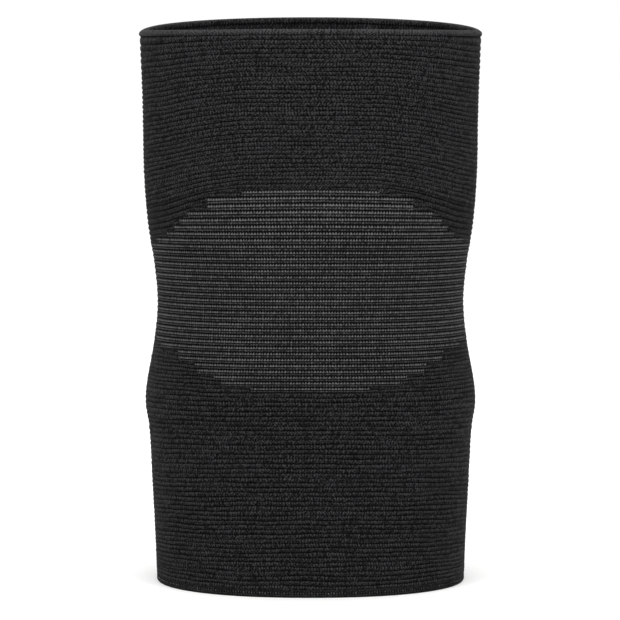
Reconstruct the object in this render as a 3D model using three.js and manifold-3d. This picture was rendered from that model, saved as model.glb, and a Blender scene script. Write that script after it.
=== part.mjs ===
// A knitted knee sleeve, standing upright and open as if a leg filled it.
// Millimetres, +Z up. The kneecap side faces -Y, +X is to its right, and the calf hem rests on z = 0.
// Four knitted pieces share one wall: the calf welt, the sleeve body with a window in its front,
// the ribbed knee panel that fills the window, and the rolled thigh welt.

import * as THREE from 'three';
import Module from 'manifold-3d';

const wasm = await Module();
wasm.setup();

// Height of the top edge at the sides, and how far the courses at the front and the top edge
// at the back stand above the same course at the sides.
const sideHeight = 241;
const courseBow = 7.6;
const backRise = 3;

// The four girths of the leg that fills the sleeve: full width, and the reach to the front and
// to the back of the widest line.
const thighWidth = 149;
const thighFront = 66;
const thighBack = 66;
const kneeWidth = 134.2;
const kneeFront = 60;
const kneeBack = 56;
const calfWidth = 145;
const calfFront = 55.5;
const calfBack = 61.5;
const hemWidth = 135.4;
const hemFront = 52;
const hemBack = 54;

// Exponent of the section's rounded outline: 2 is an ellipse, and more is squarer.
const sectionPower = 2.2;

// The knit: its wall, and the gap between pieces that meet.
const wall = 2.2;
const clearance = 0.3;

// Knee panel: its height at the sides, the share of the sleeve's height at its middle, how far
// it reaches round each side in degrees, and its raised courses.
const panelHeight = 80;
const panelLevel = 0.528;
const panelReach = 100;
const ribPitch = 2.5;
const ribHeight = 0.45;

// Rolled thigh welt: height of the roll, its thickness, and how far it stands proud of the wall.
const thighWeltHeight = 3.4;
const thighWeltThickness = 2.8;
const thighWeltProud = 0.3;

// Turned calf welt: height of the hem, the radius of its outer lower edge and of its inner one.
const calfWeltHeight = 3.2;
const hemRadius = 0.8;
const hemInnerRadius = 0.3;

// Steps of the meshes: round the leg, up the body's outside and inside, across half the panel,
// and round a half turn of a rolled edge.
const roundSteps = 42;
const outerSteps = 22;
const innerSteps = 11;
const panelSteps = 11;
const rollSteps = 6;

const girths = {
  thigh: { width: thighWidth, front: thighFront, back: thighBack },
  knee: { width: kneeWidth, front: kneeFront, back: kneeBack },
  calf: { width: calfWidth, front: calfFront, back: calfBack },
  hem: { width: hemWidth, front: hemFront, back: hemBack },
};

// The leg's form, a row for each level that shapes it. Level is a share of the side height, and
// width, front and back are shares of the girth that the row follows.
const sections = [
  { level: 0.0, girth: 'hem', width: 1.0, front: 1.0, back: 1.0 },
  { level: 0.07, girth: 'hem', width: 1.009, front: 1.006, back: 1.015 },
  { level: 0.18, girth: 'calf', width: 0.961, front: 0.96, back: 0.943 },
  { level: 0.245, girth: 'calf', width: 0.971, front: 0.972, back: 0.972 },
  { level: 0.285, girth: 'calf', width: 0.98, front: 0.984, back: 0.99 },
  { level: 0.326, girth: 'calf', width: 1.0, front: 1.0, back: 1.0 },
  { level: 0.363, girth: 'calf', width: 0.992, front: 1.009, back: 0.992 },
  { level: 0.436, girth: 'knee', width: 1.025, front: 0.965, back: 1.034 },
  { level: 0.51, girth: 'knee', width: 1.0, front: 1.0, back: 1.0 },
  { level: 0.583, girth: 'knee', width: 1.021, front: 1.02, back: 1.007 },
  { level: 0.656, girth: 'thigh', width: 0.957, front: 0.932, back: 0.887 },
  { level: 0.748, girth: 'thigh', width: 0.978, front: 0.934, back: 0.932 },
  { level: 0.84, girth: 'thigh', width: 0.983, front: 0.949, back: 0.962 },
  { level: 0.895, girth: 'thigh', width: 0.987, front: 0.963, back: 0.977 },
  { level: 1.0, girth: 'thigh', width: 1.0, front: 1.0, back: 1.0 },
];

// How the knitted courses curve, as shares of the bow at the front and of the rise at the back.
const courses = [
  { level: 0.0, bow: 0.0, rise: 0.0 },
  { level: 0.014, bow: 0.03, rise: 0.0 },
  { level: 0.05, bow: 0.58, rise: 0.0 },
  { level: 0.11, bow: 0.82, rise: 0.0 },
  { level: 0.18, bow: 0.94, rise: 0.0 },
  { level: 0.26, bow: 0.82, rise: 0.0 },
  { level: 0.36, bow: 0.52, rise: 0.0 },
  { level: 0.45, bow: 0.58, rise: 0.0 },
  { level: 0.62, bow: 0.78, rise: 0.0 },
  { level: 0.7, bow: 1.25, rise: 0.0 },
  { level: 0.79, bow: 1.05, rise: 0.0 },
  { level: 0.87, bow: 0.99, rise: 0.3 },
  { level: 0.94, bow: 0.98, rise: 0.7 },
  { level: 1.0, bow: 0.72, rise: 1.0 },
];

// The panel's outline, a row for each step of its edge. Height is a share of the panel's height
// and reach a share of its widest reach round the side.
const panelEdge = [
  { height: 0.0, reach: 0.26 },
  { height: 0.03, reach: 0.37 },
  { height: 0.12, reach: 0.49 },
  { height: 0.19, reach: 0.59 },
  { height: 0.22, reach: 0.72 },
  { height: 0.27, reach: 0.88 },
  { height: 0.36, reach: 0.97 },
  { height: 0.5, reach: 1.0 },
  { height: 0.64, reach: 0.97 },
  { height: 0.73, reach: 0.88 },
  { height: 0.77, reach: 0.73 },
  { height: 0.81, reach: 0.62 },
  { height: 0.89, reach: 0.52 },
  { height: 0.97, reach: 0.4 },
  { height: 1.0, reach: 0.27 },
];

// How softly the front's bow passes over into the flatter courses behind, and the exponent that
// flattens its top.
const bowBlend = 0.12;
const bowPower = 0.75;

// Value at a place in a table that rises in its key column, on a smooth curve through its rows,
// with the end values kept beyond both ends.
function smoothValue(rows, key, place, valueOf) {
  const last = rows.length - 1;
  if (place <= rows[0][key]) return valueOf(rows[0]);
  if (place >= rows[last][key]) return valueOf(rows[last]);
  const i = rows.findIndex((row) => row[key] > place) - 1;
  const slopeAt = (j) => {
    const before = rows[Math.max(j - 1, 0)];
    const after = rows[Math.min(j + 1, last)];
    return (valueOf(after) - valueOf(before)) / (after[key] - before[key]);
  };
  const span = rows[i + 1][key] - rows[i][key];
  const t = (place - rows[i][key]) / span;
  const start = valueOf(rows[i]);
  const end = valueOf(rows[i + 1]);
  const bend = t * (1 - t) * span;
  return start + (end - start) * t * t * (3 - 2 * t)
    + bend * ((1 - t) * slopeAt(i) - t * slopeAt(i + 1));
}

// Value at a place in a table, on straight lines between its rows.
function straightValue(rows, key, place, column) {
  const last = rows.length - 1;
  if (place <= rows[0][key]) return rows[0][column];
  if (place >= rows[last][key]) return rows[last][column];
  const i = rows.findIndex((row) => row[key] > place) - 1;
  const t = (place - rows[i][key]) / (rows[i + 1][key] - rows[i][key]);
  return rows[i][column] + (rows[i + 1][column] - rows[i][column]) * t;
}

// One size of the leg (width, front or back) at a level.
function legSize(level, size) {
  return smoothValue(sections, 'level', level, (row) => row[size] * girths[row.girth][size]);
}

// Share from 0 to 1 that rises with the cosine of an angle on its positive side only, smoothly.
function oneSided(cosine) {
  const soft = (c) => (c + Math.hypot(c, bowBlend)) / 2;
  return ((soft(cosine) - soft(-1)) / (soft(1) - soft(-1))) ** bowPower;
}

// Height at an angle round the leg of the course that stands at a given height at the sides.
function courseHeight(side, angle) {
  const level = side / sideHeight;
  const bow = courseBow * smoothValue(courses, 'level', level, (row) => row.bow);
  const rise = backRise * smoothValue(courses, 'level', level, (row) => row.rise);
  return side + bow * oneSided(Math.cos(angle)) + rise * oneSided(-Math.cos(angle));
}

// Point of the knit at an angle round the leg from the front towards +X, on the course that
// stands at a given height at the sides, and at a depth in from the outer face.
function knitPoint(angle, side, depth) {
  const height = courseHeight(side, angle);
  const level = height / sideHeight;
  const halfWidth = legSize(level, 'width') / 2;
  const reach = legSize(level, Math.cos(angle) > 0 ? 'front' : 'back');
  const across = Math.sin(angle);
  const along = -Math.cos(angle);
  const radius = (Math.abs(across / halfWidth) ** sectionPower
    + Math.abs(along / reach) ** sectionPower) ** (-1 / sectionPower);
  const point = new THREE.Vector3(across * radius, along * radius, height);
  const outward = new THREE.Vector3(
    Math.sign(across) * Math.abs(point.x) ** (sectionPower - 1) / halfWidth ** sectionPower,
    Math.sign(along) * Math.abs(point.y) ** (sectionPower - 1) / reach ** sectionPower,
    0,
  ).normalize();
  return point.addScaledVector(outward, -depth);
}

// Geometry from a list of points and triangles of point numbers.
function geometryFrom(points, triangles) {
  const geometry = new THREE.BufferGeometry().setFromPoints(points);
  geometry.setIndex(triangles);
  return geometry;
}

// Adds the triangles between two rows of points that run the same way. Each point has its number
// and its place along the row, and the row with the nearer next place takes the next step, so
// the rows may have different lengths.
function addStrip(triangles, near, far) {
  let i = 0;
  let j = 0;
  while (i < near.length - 1 || j < far.length - 1) {
    const nearNext = i < near.length - 1 ? near[i + 1].place : Infinity;
    const farNext = j < far.length - 1 ? far[j + 1].place : Infinity;
    if (nearNext <= farNext) {
      triangles.push(near[i].number, near[i + 1].number, far[j].number);
      i += 1;
    } else {
      triangles.push(near[i].number, far[j + 1].number, far[j].number);
      j += 1;
    }
  }
}

// Closed ring round the leg from a closed profile of side heights and depths, listed up the
// outside and down the inside.
function ringGeometry(profile) {
  const points = [];
  const triangles = [];
  const rows = [];
  for (const { side, depth } of profile) {
    const row = [];
    for (let i = 0; i < roundSteps; i += 1) {
      row.push({ number: points.length, place: i });
      points.push(knitPoint((2 * Math.PI * i) / roundSteps, side, depth));
    }
    rows.push([...row, { number: row[0].number, place: roundSteps }]);
  }
  for (let j = 0; j < rows.length; j += 1) addStrip(triangles, rows[j], rows[(j + 1) % rows.length]);
  return geometryFrom(points, triangles);
}

// Closed patch of the knit, the same on both sides of the front. It is made from a list of outer
// and a list of inner rows, each from the bottom up, with its side height, reach and depth.
function patchGeometry(outerRows, innerRows) {
  const points = [];
  const triangles = [];
  const gridOf = (rows) => rows.map(({ side, reach, depth }) => {
    const row = [];
    for (let i = -panelSteps; i <= panelSteps; i += 1) {
      row.push({ number: points.length, place: i });
      points.push(knitPoint((reach * i) / panelSteps, side, depth));
    }
    return row;
  });
  const columnOf = (grid, rows, i) => grid.map((row, j) => (
    { number: row[i].number, place: rows[j].side }));
  const outer = gridOf(outerRows);
  const inner = gridOf(innerRows);
  for (let j = 1; j < outer.length; j += 1) addStrip(triangles, outer[j - 1], outer[j]);
  for (let j = 1; j < inner.length; j += 1) addStrip(triangles, inner[j], inner[j - 1]);
  const last = 2 * panelSteps;
  addStrip(triangles, inner[0], outer[0]);
  addStrip(triangles, outer.at(-1), inner.at(-1));
  addStrip(triangles, columnOf(inner, innerRows, last), columnOf(outer, outerRows, last));
  addStrip(triangles, columnOf(outer, outerRows, 0), columnOf(inner, innerRows, 0));
  return geometryFrom(points, triangles);
}

// The same closed shape as a solid that can be cut. Its triangles already share their corners.
function solidFrom(geometry) {
  const vertProperties = new Float32Array(geometry.attributes.position.array);
  const triVerts = new Uint32Array(geometry.index.array);
  return new wasm.Manifold(new wasm.Mesh({ numProp: 3, vertProperties, triVerts }));
}

function geometryOf(solid) {
  const { vertProperties, triVerts } = solid.getMesh();
  const geometry = new THREE.BufferGeometry();
  geometry.setAttribute('position', new THREE.BufferAttribute(vertProperties, 3));
  geometry.setIndex(new THREE.BufferAttribute(triVerts, 1));
  return geometry;
}

// Evenly spaced values from a first to a last one, both included.
function evenly(first, last, steps) {
  return Array.from({ length: steps + 1 }, (_, i) => first + ((last - first) * i) / steps);
}

const panelRibs = Math.round(panelHeight / ribPitch) + 1;
const ribSpacing = panelHeight / (panelRibs - 1);
const panelBottom = panelLevel * sideHeight - panelHeight / 2;
const panelRadius = (kneeWidth / 2 + kneeFront) / 2;
const degree = Math.PI / 180;

// The panel's edge, up from its lowest rib and round the leg, grown outwards by a gap. Each step
// of the edge falls on a rib, and the edge runs half a rib past the lowest and the highest one.
// A grown corner moves along the mean of the directions that its two sides face.
function panelOutline(gap) {
  const widest = panelReach * degree * panelRadius;
  const steps = new Map(panelEdge.map(({ height, reach }) => (
    [Math.round(height * (panelRibs - 1)) * ribSpacing, reach * widest])));
  const corners = [...steps].map(([up, reach]) => new THREE.Vector2(reach, up));
  corners.unshift(new THREE.Vector2(corners[0].x, -ribSpacing / 2));
  corners.push(new THREE.Vector2(corners.at(-1).x, panelHeight + ribSpacing / 2));
  const faces = corners.slice(1).map((corner, i) => {
    const along = corner.clone().sub(corners[i]).normalize();
    return new THREE.Vector2(along.y, -along.x);
  });
  const last = corners.length - 1;
  return corners.map((corner, i) => {
    const below = faces[Math.max(i - 1, 0)];
    const above = faces[Math.min(i, last - 1)];
    const mean = below.clone().add(above).normalize();
    const grown = corner.clone().addScaledVector(mean, gap / mean.dot(above));
    if (i === 0) grown.y -= gap;
    if (i === last) grown.y += gap;
    return { up: grown.y, reach: grown.x / panelRadius };
  });
}

// Rows of the panel at heights above its lowest rib, each with the reach of the outline there.
function panelRows(outline, heights, depthAt) {
  return heights.map((up, i) => ({
    side: panelBottom + up,
    reach: straightValue(outline, 'up', up, 'reach'),
    depth: depthAt(i),
  }));
}

// Raised courses: a crest at each rib and a valley halfway between two, and a smooth back.
function buildKneePanel() {
  const outline = panelOutline(0);
  const corners = outline.map(({ up }) => up);
  const heights = evenly(corners[0], corners.at(-1), 2 * panelRibs);
  const outer = panelRows(outline, heights, (i) => (i % 2 ? -ribHeight : 0));
  const inner = panelRows(outline, corners, () => wall);
  return patchGeometry(outer, inner);
}

// The window that the panel fills: the panel's outline grown by the clearance, through the wall.
// Between two corners its rows stand no further apart than the ribs.
function buildWindow() {
  const outline = panelOutline(clearance);
  const heights = [outline[0].up];
  for (const { up } of outline.slice(1)) {
    const below = heights.at(-1);
    heights.push(...evenly(below, up, Math.ceil((up - below) / ribSpacing)).slice(1));
  }
  const outer = panelRows(outline, heights, () => -2 * wall);
  const inner = panelRows(outline, heights, () => 3 * wall);
  return patchGeometry(outer, inner);
}

// Tube of knit between the two welts, with the window cut out of its front.
function buildSleeveBody() {
  const bottom = calfWeltHeight + clearance;
  const top = sideHeight - thighWeltHeight - clearance;
  const outer = evenly(bottom, top, outerSteps).map((side) => ({ side, depth: 0 }));
  const inner = evenly(top, bottom, innerSteps).map((side) => ({ side, depth: wall }));
  const tube = solidFrom(ringGeometry([...outer, ...inner]));
  return geometryOf(tube.subtract(solidFrom(buildWindow())));
}

// Rolled top edge: straight faces under a half-round top.
function buildThighWelt() {
  const radius = thighWeltThickness / 2;
  const bottom = sideHeight - thighWeltHeight;
  const roll = evenly(0, Math.PI, rollSteps).map((turn) => ({
    side: sideHeight - radius + radius * Math.sin(turn),
    depth: radius - thighWeltProud - radius * Math.cos(turn),
  }));
  const foot = [
    { side: bottom, depth: thighWeltThickness - thighWeltProud },
    { side: bottom, depth: -thighWeltProud },
  ];
  return ringGeometry([...roll, ...foot]);
}

// Turned bottom edge: a flat foot between a round outer and a small round inner edge.
function buildCalfWelt() {
  const outerEdge = evenly(0, Math.PI / 2, rollSteps / 2).map((turn) => ({
    side: hemRadius - hemRadius * Math.cos(turn),
    depth: hemRadius - hemRadius * Math.sin(turn),
  }));
  const innerEdge = evenly(Math.PI / 2, 0, 1).map((turn) => ({
    side: hemInnerRadius - hemInnerRadius * Math.cos(turn),
    depth: wall - hemInnerRadius + hemInnerRadius * Math.sin(turn),
  }));
  const top = [
    { side: calfWeltHeight, depth: 0 },
    { side: calfWeltHeight, depth: wall },
  ];
  return ringGeometry([...outerEdge, ...top, ...innerEdge]);
}

const charcoalKnit = new THREE.MeshStandardMaterial({ color: 0x29292b, roughness: 0.95, metalness: 0 });
const panelKnit = new THREE.MeshStandardMaterial({ color: 0x3c3c3e, roughness: 0.95, metalness: 0 });
const thighWeltKnit = new THREE.MeshStandardMaterial({ color: 0x39393b, roughness: 0.95, metalness: 0 });
const calfWeltKnit = new THREE.MeshStandardMaterial({ color: 0x222224, roughness: 0.95, metalness: 0 });

const sleeve = new THREE.Group();

function addPiece(name, geometry, material) {
  const piece = new THREE.Mesh(geometry, material);
  piece.name = name;
  sleeve.add(piece);
}

addPiece('calf_welt', buildCalfWelt(), calfWeltKnit);
addPiece('sleeve_body', buildSleeveBody(), charcoalKnit);
addPiece('knee_panel', buildKneePanel(), panelKnit);
addPiece('thigh_welt', buildThighWelt(), thighWeltKnit);

export default sleeve;
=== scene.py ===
"""Dresses the knitted knee sleeve: courses, wales, edges and hem stitches, their yarns and a plain studio."""

import logging
import math
from dataclasses import dataclass, field
from enum import Enum

import bpy
import numpy as np
from mathutils import Matrix, Vector


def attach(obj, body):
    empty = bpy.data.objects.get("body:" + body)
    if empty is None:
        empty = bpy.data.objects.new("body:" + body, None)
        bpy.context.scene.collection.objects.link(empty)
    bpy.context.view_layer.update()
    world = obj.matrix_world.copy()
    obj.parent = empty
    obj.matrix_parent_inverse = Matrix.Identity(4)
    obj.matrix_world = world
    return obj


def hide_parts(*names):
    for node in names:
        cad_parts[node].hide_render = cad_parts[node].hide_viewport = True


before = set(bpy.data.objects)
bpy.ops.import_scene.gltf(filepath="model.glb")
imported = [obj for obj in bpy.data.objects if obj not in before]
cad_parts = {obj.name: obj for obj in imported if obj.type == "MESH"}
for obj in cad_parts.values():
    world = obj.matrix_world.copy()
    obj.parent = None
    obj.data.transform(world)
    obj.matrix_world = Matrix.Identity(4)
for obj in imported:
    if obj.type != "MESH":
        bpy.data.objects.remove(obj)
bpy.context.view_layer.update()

LOG = logging.getLogger("knee_sleeve")
MM = 0.001
FULL_TURN = 2 * np.pi
IMAGE_PIXELS = 620

# Sizes round the leg in mm: whole width, front depth and back depth.
GIRTHS: dict[str, tuple[float, float, float]] = {
    "thigh": (149.0, 66.0, 66.0),
    "knee": (134.2, 60.0, 56.0),
    "calf": (145.0, 55.5, 61.5),
    "hem": (135.4, 52.0, 54.0),
}

# Sections up the leg: height share, girth, then shares of its width, front and back.
SECTIONS: tuple[tuple[float, str, float, float, float], ...] = (
    (0.0, "hem", 1.0, 1.0, 1.0),
    (0.07, "hem", 1.009, 1.006, 1.015),
    (0.18, "calf", 0.961, 0.96, 0.943),
    (0.245, "calf", 0.971, 0.972, 0.972),
    (0.285, "calf", 0.98, 0.984, 0.99),
    (0.326, "calf", 1.0, 1.0, 1.0),
    (0.363, "calf", 0.992, 1.009, 0.992),
    (0.436, "knee", 1.025, 0.965, 1.034),
    (0.51, "knee", 1.0, 1.0, 1.0),
    (0.583, "knee", 1.021, 1.02, 1.007),
    (0.656, "thigh", 0.957, 0.932, 0.887),
    (0.748, "thigh", 0.978, 0.934, 0.932),
    (0.84, "thigh", 0.983, 0.949, 0.962),
    (0.895, "thigh", 0.987, 0.963, 0.977),
    (1.0, "thigh", 1.0, 1.0, 1.0),
)

# How far each course tips up at the front (bow) and at the back (rise): height share, bow share, rise share.
COURSE_TILTS: tuple[tuple[float, float, float], ...] = (
    (0.0, 0.0, 0.0),
    (0.014, 0.03, 0.0),
    (0.05, 0.58, 0.0),
    (0.11, 0.82, 0.0),
    (0.18, 0.94, 0.0),
    (0.26, 0.82, 0.0),
    (0.36, 0.52, 0.0),
    (0.45, 0.58, 0.0),
    (0.62, 0.78, 0.0),
    (0.7, 1.25, 0.0),
    (0.79, 1.05, 0.0),
    (0.87, 0.99, 0.3),
    (0.94, 0.98, 0.7),
    (1.0, 0.72, 1.0),
)

# Reach of each striped rib of the kneecap panel to either side of the front in degrees, from the lowest up.
PANEL_REACH: tuple[float, ...] = (
    25.5, 37.5, 41.0, 48.6, 49.9, 57.3, 58.6, 72.3, 80.2, 86.0, 91.0,
    94.0, 96.0, 98.0, 99.0, 100.0, 100.0, 100.0, 100.0, 100.0, 99.0, 97.0,
    95.0, 92.0, 85.8, 70.4, 61.4, 57.0, 54.0, 49.0, 40.8, 40.8, 26.6,
)

# Where courses start to be pressed together beside the panel's short upper ribs: degrees from the front, then
# side height in mm.
SHOULDER_LINE: tuple[tuple[float, float], ...] = (
    (26.6, 171.0), (40.8, 166.0), (49.0, 161.0), (57.0, 156.0), (61.4, 153.5),
    (70.4, 151.0), (85.8, 148.5), (105.0, 148.5), (150.0, 171.0),
)


def hermite(places: np.ndarray, values: np.ndarray, at: np.ndarray) -> np.ndarray:
    """Smooth curve through a table: cubic between rows, with a row's slope taken from the rows beside it.

    Args:
        places: Rising places of the rows.
        values: Value at each row.
        at: Places to read the curve at.

    Returns:
        The curve's values, shaped as at.
    """
    last = len(places) - 1
    row = np.arange(last + 1)
    after, before = np.minimum(row + 1, last), np.maximum(row - 1, 0)
    slope = (values[after] - values[before]) / (places[after] - places[before])
    at = np.clip(at, places[0], places[last])
    i = np.clip(np.searchsorted(places, at, side="right") - 1, 0, last - 1)
    gap = places[i + 1] - places[i]
    t = (at - places[i]) / gap
    bend = t * (1 - t) * gap * ((1 - t) * slope[i] - t * slope[i + 1])
    return values[i] + (values[i + 1] - values[i]) * t * t * (3 - 2 * t) + bend


def smooth_step(low: float, high: float, at: np.ndarray) -> np.ndarray:
    """Goes from 0 at low to 1 at high along 3t^2 - 2t^3."""
    t = np.clip((at - low) / (high - low), 0, 1)
    return t * t * (3 - 2 * t)


def soft_positive(value: np.ndarray | float, blend: float) -> np.ndarray:
    """Softened max(value, 0): half of the value plus the hypotenuse of the value and the blend."""
    return (value + np.hypot(value, blend)) / 2


def smooth_noise(rng: np.random.Generator, rows: int, columns: int, along: float,
                 across: float) -> np.ndarray:
    """Soft random field that closes round the sleeve: white noise times a Gaussian in frequency.

    Args:
        rng: Seeded source of the noise.
        rows: Rows up the sleeve.
        columns: Columns round it.
        along: Blur up the sleeve, in rows.
        across: Blur round it, in columns.

    Returns:
        Field of rows by columns with mean 0 and deviation 1.
    """
    spectrum = np.fft.rfft2(rng.standard_normal((rows, columns)))
    up, round_ = np.fft.fftfreq(rows)[:, None], np.fft.rfftfreq(columns)[None, :]
    spectrum *= np.exp(-2 * (np.pi * up * along) ** 2 - 2 * (np.pi * round_ * across) ** 2)
    result = np.fft.irfft2(spectrum, s=(rows, columns))
    return (result - result.mean()) / result.std()


def linear_rgba(code: str) -> tuple[float, float, float, float]:
    """Turns an sRGB hex colour to the linear one that the shader's sockets take.

    Args:
        code: Colour as #rrggbb.

    Returns:
        Linear red, green and blue from 0 to 1, and a full alpha.
    """
    parts = [int(code[i:i + 2], 16) / 255 for i in (1, 3, 5)]
    linear = [c / 12.92 if c <= 0.04045 else ((c + 0.055) / 1.055) ** 2.4 for c in parts]
    return (linear[0], linear[1], linear[2], 1.0)


def add_node(tree: bpy.types.NodeTree, kind: str, settings: dict | None = None,
             links: dict | None = None) -> bpy.types.Node:
    """Adds one node to a tree.

    Args:
        tree: Tree that takes the node.
        kind: Blender's name of the node type.
        settings: Values by property name, or by input name or number.
        links: Output sockets by input name or number.

    Returns:
        The new node.
    """
    node = tree.nodes.new(kind)
    for key, value in (settings or {}).items():
        if isinstance(key, str) and key in node.bl_rna.properties:
            setattr(node, key, value)
        else:
            node.inputs[key].default_value = value
    for key, source in (links or {}).items():
        tree.links.new(source, node.inputs[key])
    return node


@dataclass(frozen=True)
class LegForm:
    """Skin of the sleeve on the leg, in mm: superellipse sections up a table, read along tipped courses."""

    side_height: float = 241.0
    course_bow: float = 7.6
    back_rise: float = 3.0
    section_power: float = 2.2
    bow_blend: float = 0.12
    bow_power: float = 0.75

    def reach(self, level: np.ndarray, part: int) -> np.ndarray:
        """Reads a size up the leg.

        Args:
            level: Height as a share of side_height.
            part: 0 for the width, 1 for the front depth, 2 for the back depth.

        Returns:
            The size in mm.
        """
        places = np.array([row[0] for row in SECTIONS])
        values = np.array([row[2 + part] * GIRTHS[row[1]][part] for row in SECTIONS])
        return hermite(places, values, level)

    def one_sided(self, facing: np.ndarray) -> np.ndarray:
        """Fades a tilt round the leg: a softened max(facing, 0), as a share of its range, to the bow's power.

        Args:
            facing: From 1 where the knit faces the side that is tipped up to -1 on the far side.

        Returns:
            Share of the tilt.
        """
        at, low, high = (soft_positive(value, self.bow_blend) for value in (facing, -1.0, 1.0))
        return ((at - low) / (high - low)) ** self.bow_power

    def height(self, angle: np.ndarray, side: np.ndarray) -> np.ndarray:
        """Height of a course: its height at the side, plus bow towards the front, plus rise towards the back.

        Args:
            angle: Angle round from the front in radians.
            side: Height of the course at the side in mm.

        Returns:
            Height in mm.
        """
        table = np.array(COURSE_TILTS)
        level = side / self.side_height
        bow = self.course_bow * hermite(table[:, 0], table[:, 1], level)
        rise = self.back_rise * hermite(table[:, 0], table[:, 2], level)
        facing = np.cos(angle)
        return side + bow * self.one_sided(facing) + rise * self.one_sided(-facing)

    def point(self, angle: np.ndarray, side: np.ndarray, depth: np.ndarray | float) -> np.ndarray:
        """Point of the knit: radius (|sin/a|^n + |cos/b|^n)^(-1/n) at its height, then in along the normal.

        Args:
            angle: Angle round from the front in radians, positive towards +X.
            side: Height of the point's course at the side in mm.
            depth: How far in from the skin in mm.

        Returns:
            Points in mm, with the three coordinates last.
        """
        height = self.height(angle, side)
        level = height / self.side_height
        half = self.reach(level, 0) / 2
        deep = np.where(np.cos(angle) > 0, self.reach(level, 1), self.reach(level, 2))
        right, back, power = np.sin(angle), -np.cos(angle), self.section_power
        radius = (np.abs(right / half) ** power + np.abs(back / deep) ** power) ** (-1 / power)
        x, y = right * radius, back * radius
        nx = np.sign(right) * np.abs(x) ** (power - 1) / half ** power
        ny = np.sign(back) * np.abs(y) ** (power - 1) / deep ** power
        length = np.hypot(nx, ny)
        return np.stack([x - depth * nx / length, y - depth * ny / length, height], axis=-1)

    def side_at_front(self, heights: np.ndarray) -> np.ndarray:
        """Side heights of the courses that cross the front centre at the given heights."""
        sides = np.linspace(0, self.side_height, 1201)
        return np.interp(heights, self.height(np.zeros_like(sides), sides), sides)


class CourseKind(Enum):
    """The two kinds of course in the cloth, and how many rows of points draw one."""

    PLAIN = 4
    STRIPED = 6


PLAIN_ROWS, RIB_ROWS = (kind.value for kind in CourseKind)


@dataclass(frozen=True)
class CourseShape:
    """One course from groove to groove, row by row.

    places: share of the way up the course. heights: mm above the groove. swings: mm that the row rises from
    between two wales to the crown of a loop. shades: mean shade, with painted shade in the groove and, on
    plain courses, painted light that makes each course paler towards its top. crowns: how much paler a crown
    is painted than the gap beside it, as painted highlight and painted shade. line_rows: rows that draw a
    pale line.
    """

    places: tuple[float, ...]
    heights: tuple[float, ...]
    swings: tuple[float, ...]
    shades: tuple[float, ...]
    crowns: tuple[float, ...]
    line_rows: tuple[int, ...] = ()


# The shades paint shade into each groove; the plain ones rise towards the course's top as painted light from
# above. The striped course's pale line is its grey yarn.
COURSE_SHAPES: dict[CourseKind, CourseShape] = {
    CourseKind.PLAIN: CourseShape(
        places=(0.0, 0.2, 0.5, 0.8),
        heights=(0.0, 0.34, 0.44, 0.38),
        swings=(0.1, 0.0, 0.0, 0.1),
        shades=(0.05, 0.42, 0.52, 0.6),
        crowns=(0.05, 0.1, 0.12, 0.2),
    ),
    CourseKind.STRIPED: CourseShape(
        places=(0.0, 0.14, 0.29, 0.45, 0.58, 0.74),
        heights=(0.0, 0.3, 0.34, 0.26, 0.44, 0.46),
        swings=(0.4, 0.0, 0.0, 0.05, 0.12, 0.4),
        shades=(-0.1, 0.54, 0.52, 0.0, 0.84, 0.68),
        crowns=(0.0, 0.08, 0.1, 0.1, 0.06, 0.24),
        line_rows=(4, 5),
    ),
}


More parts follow.
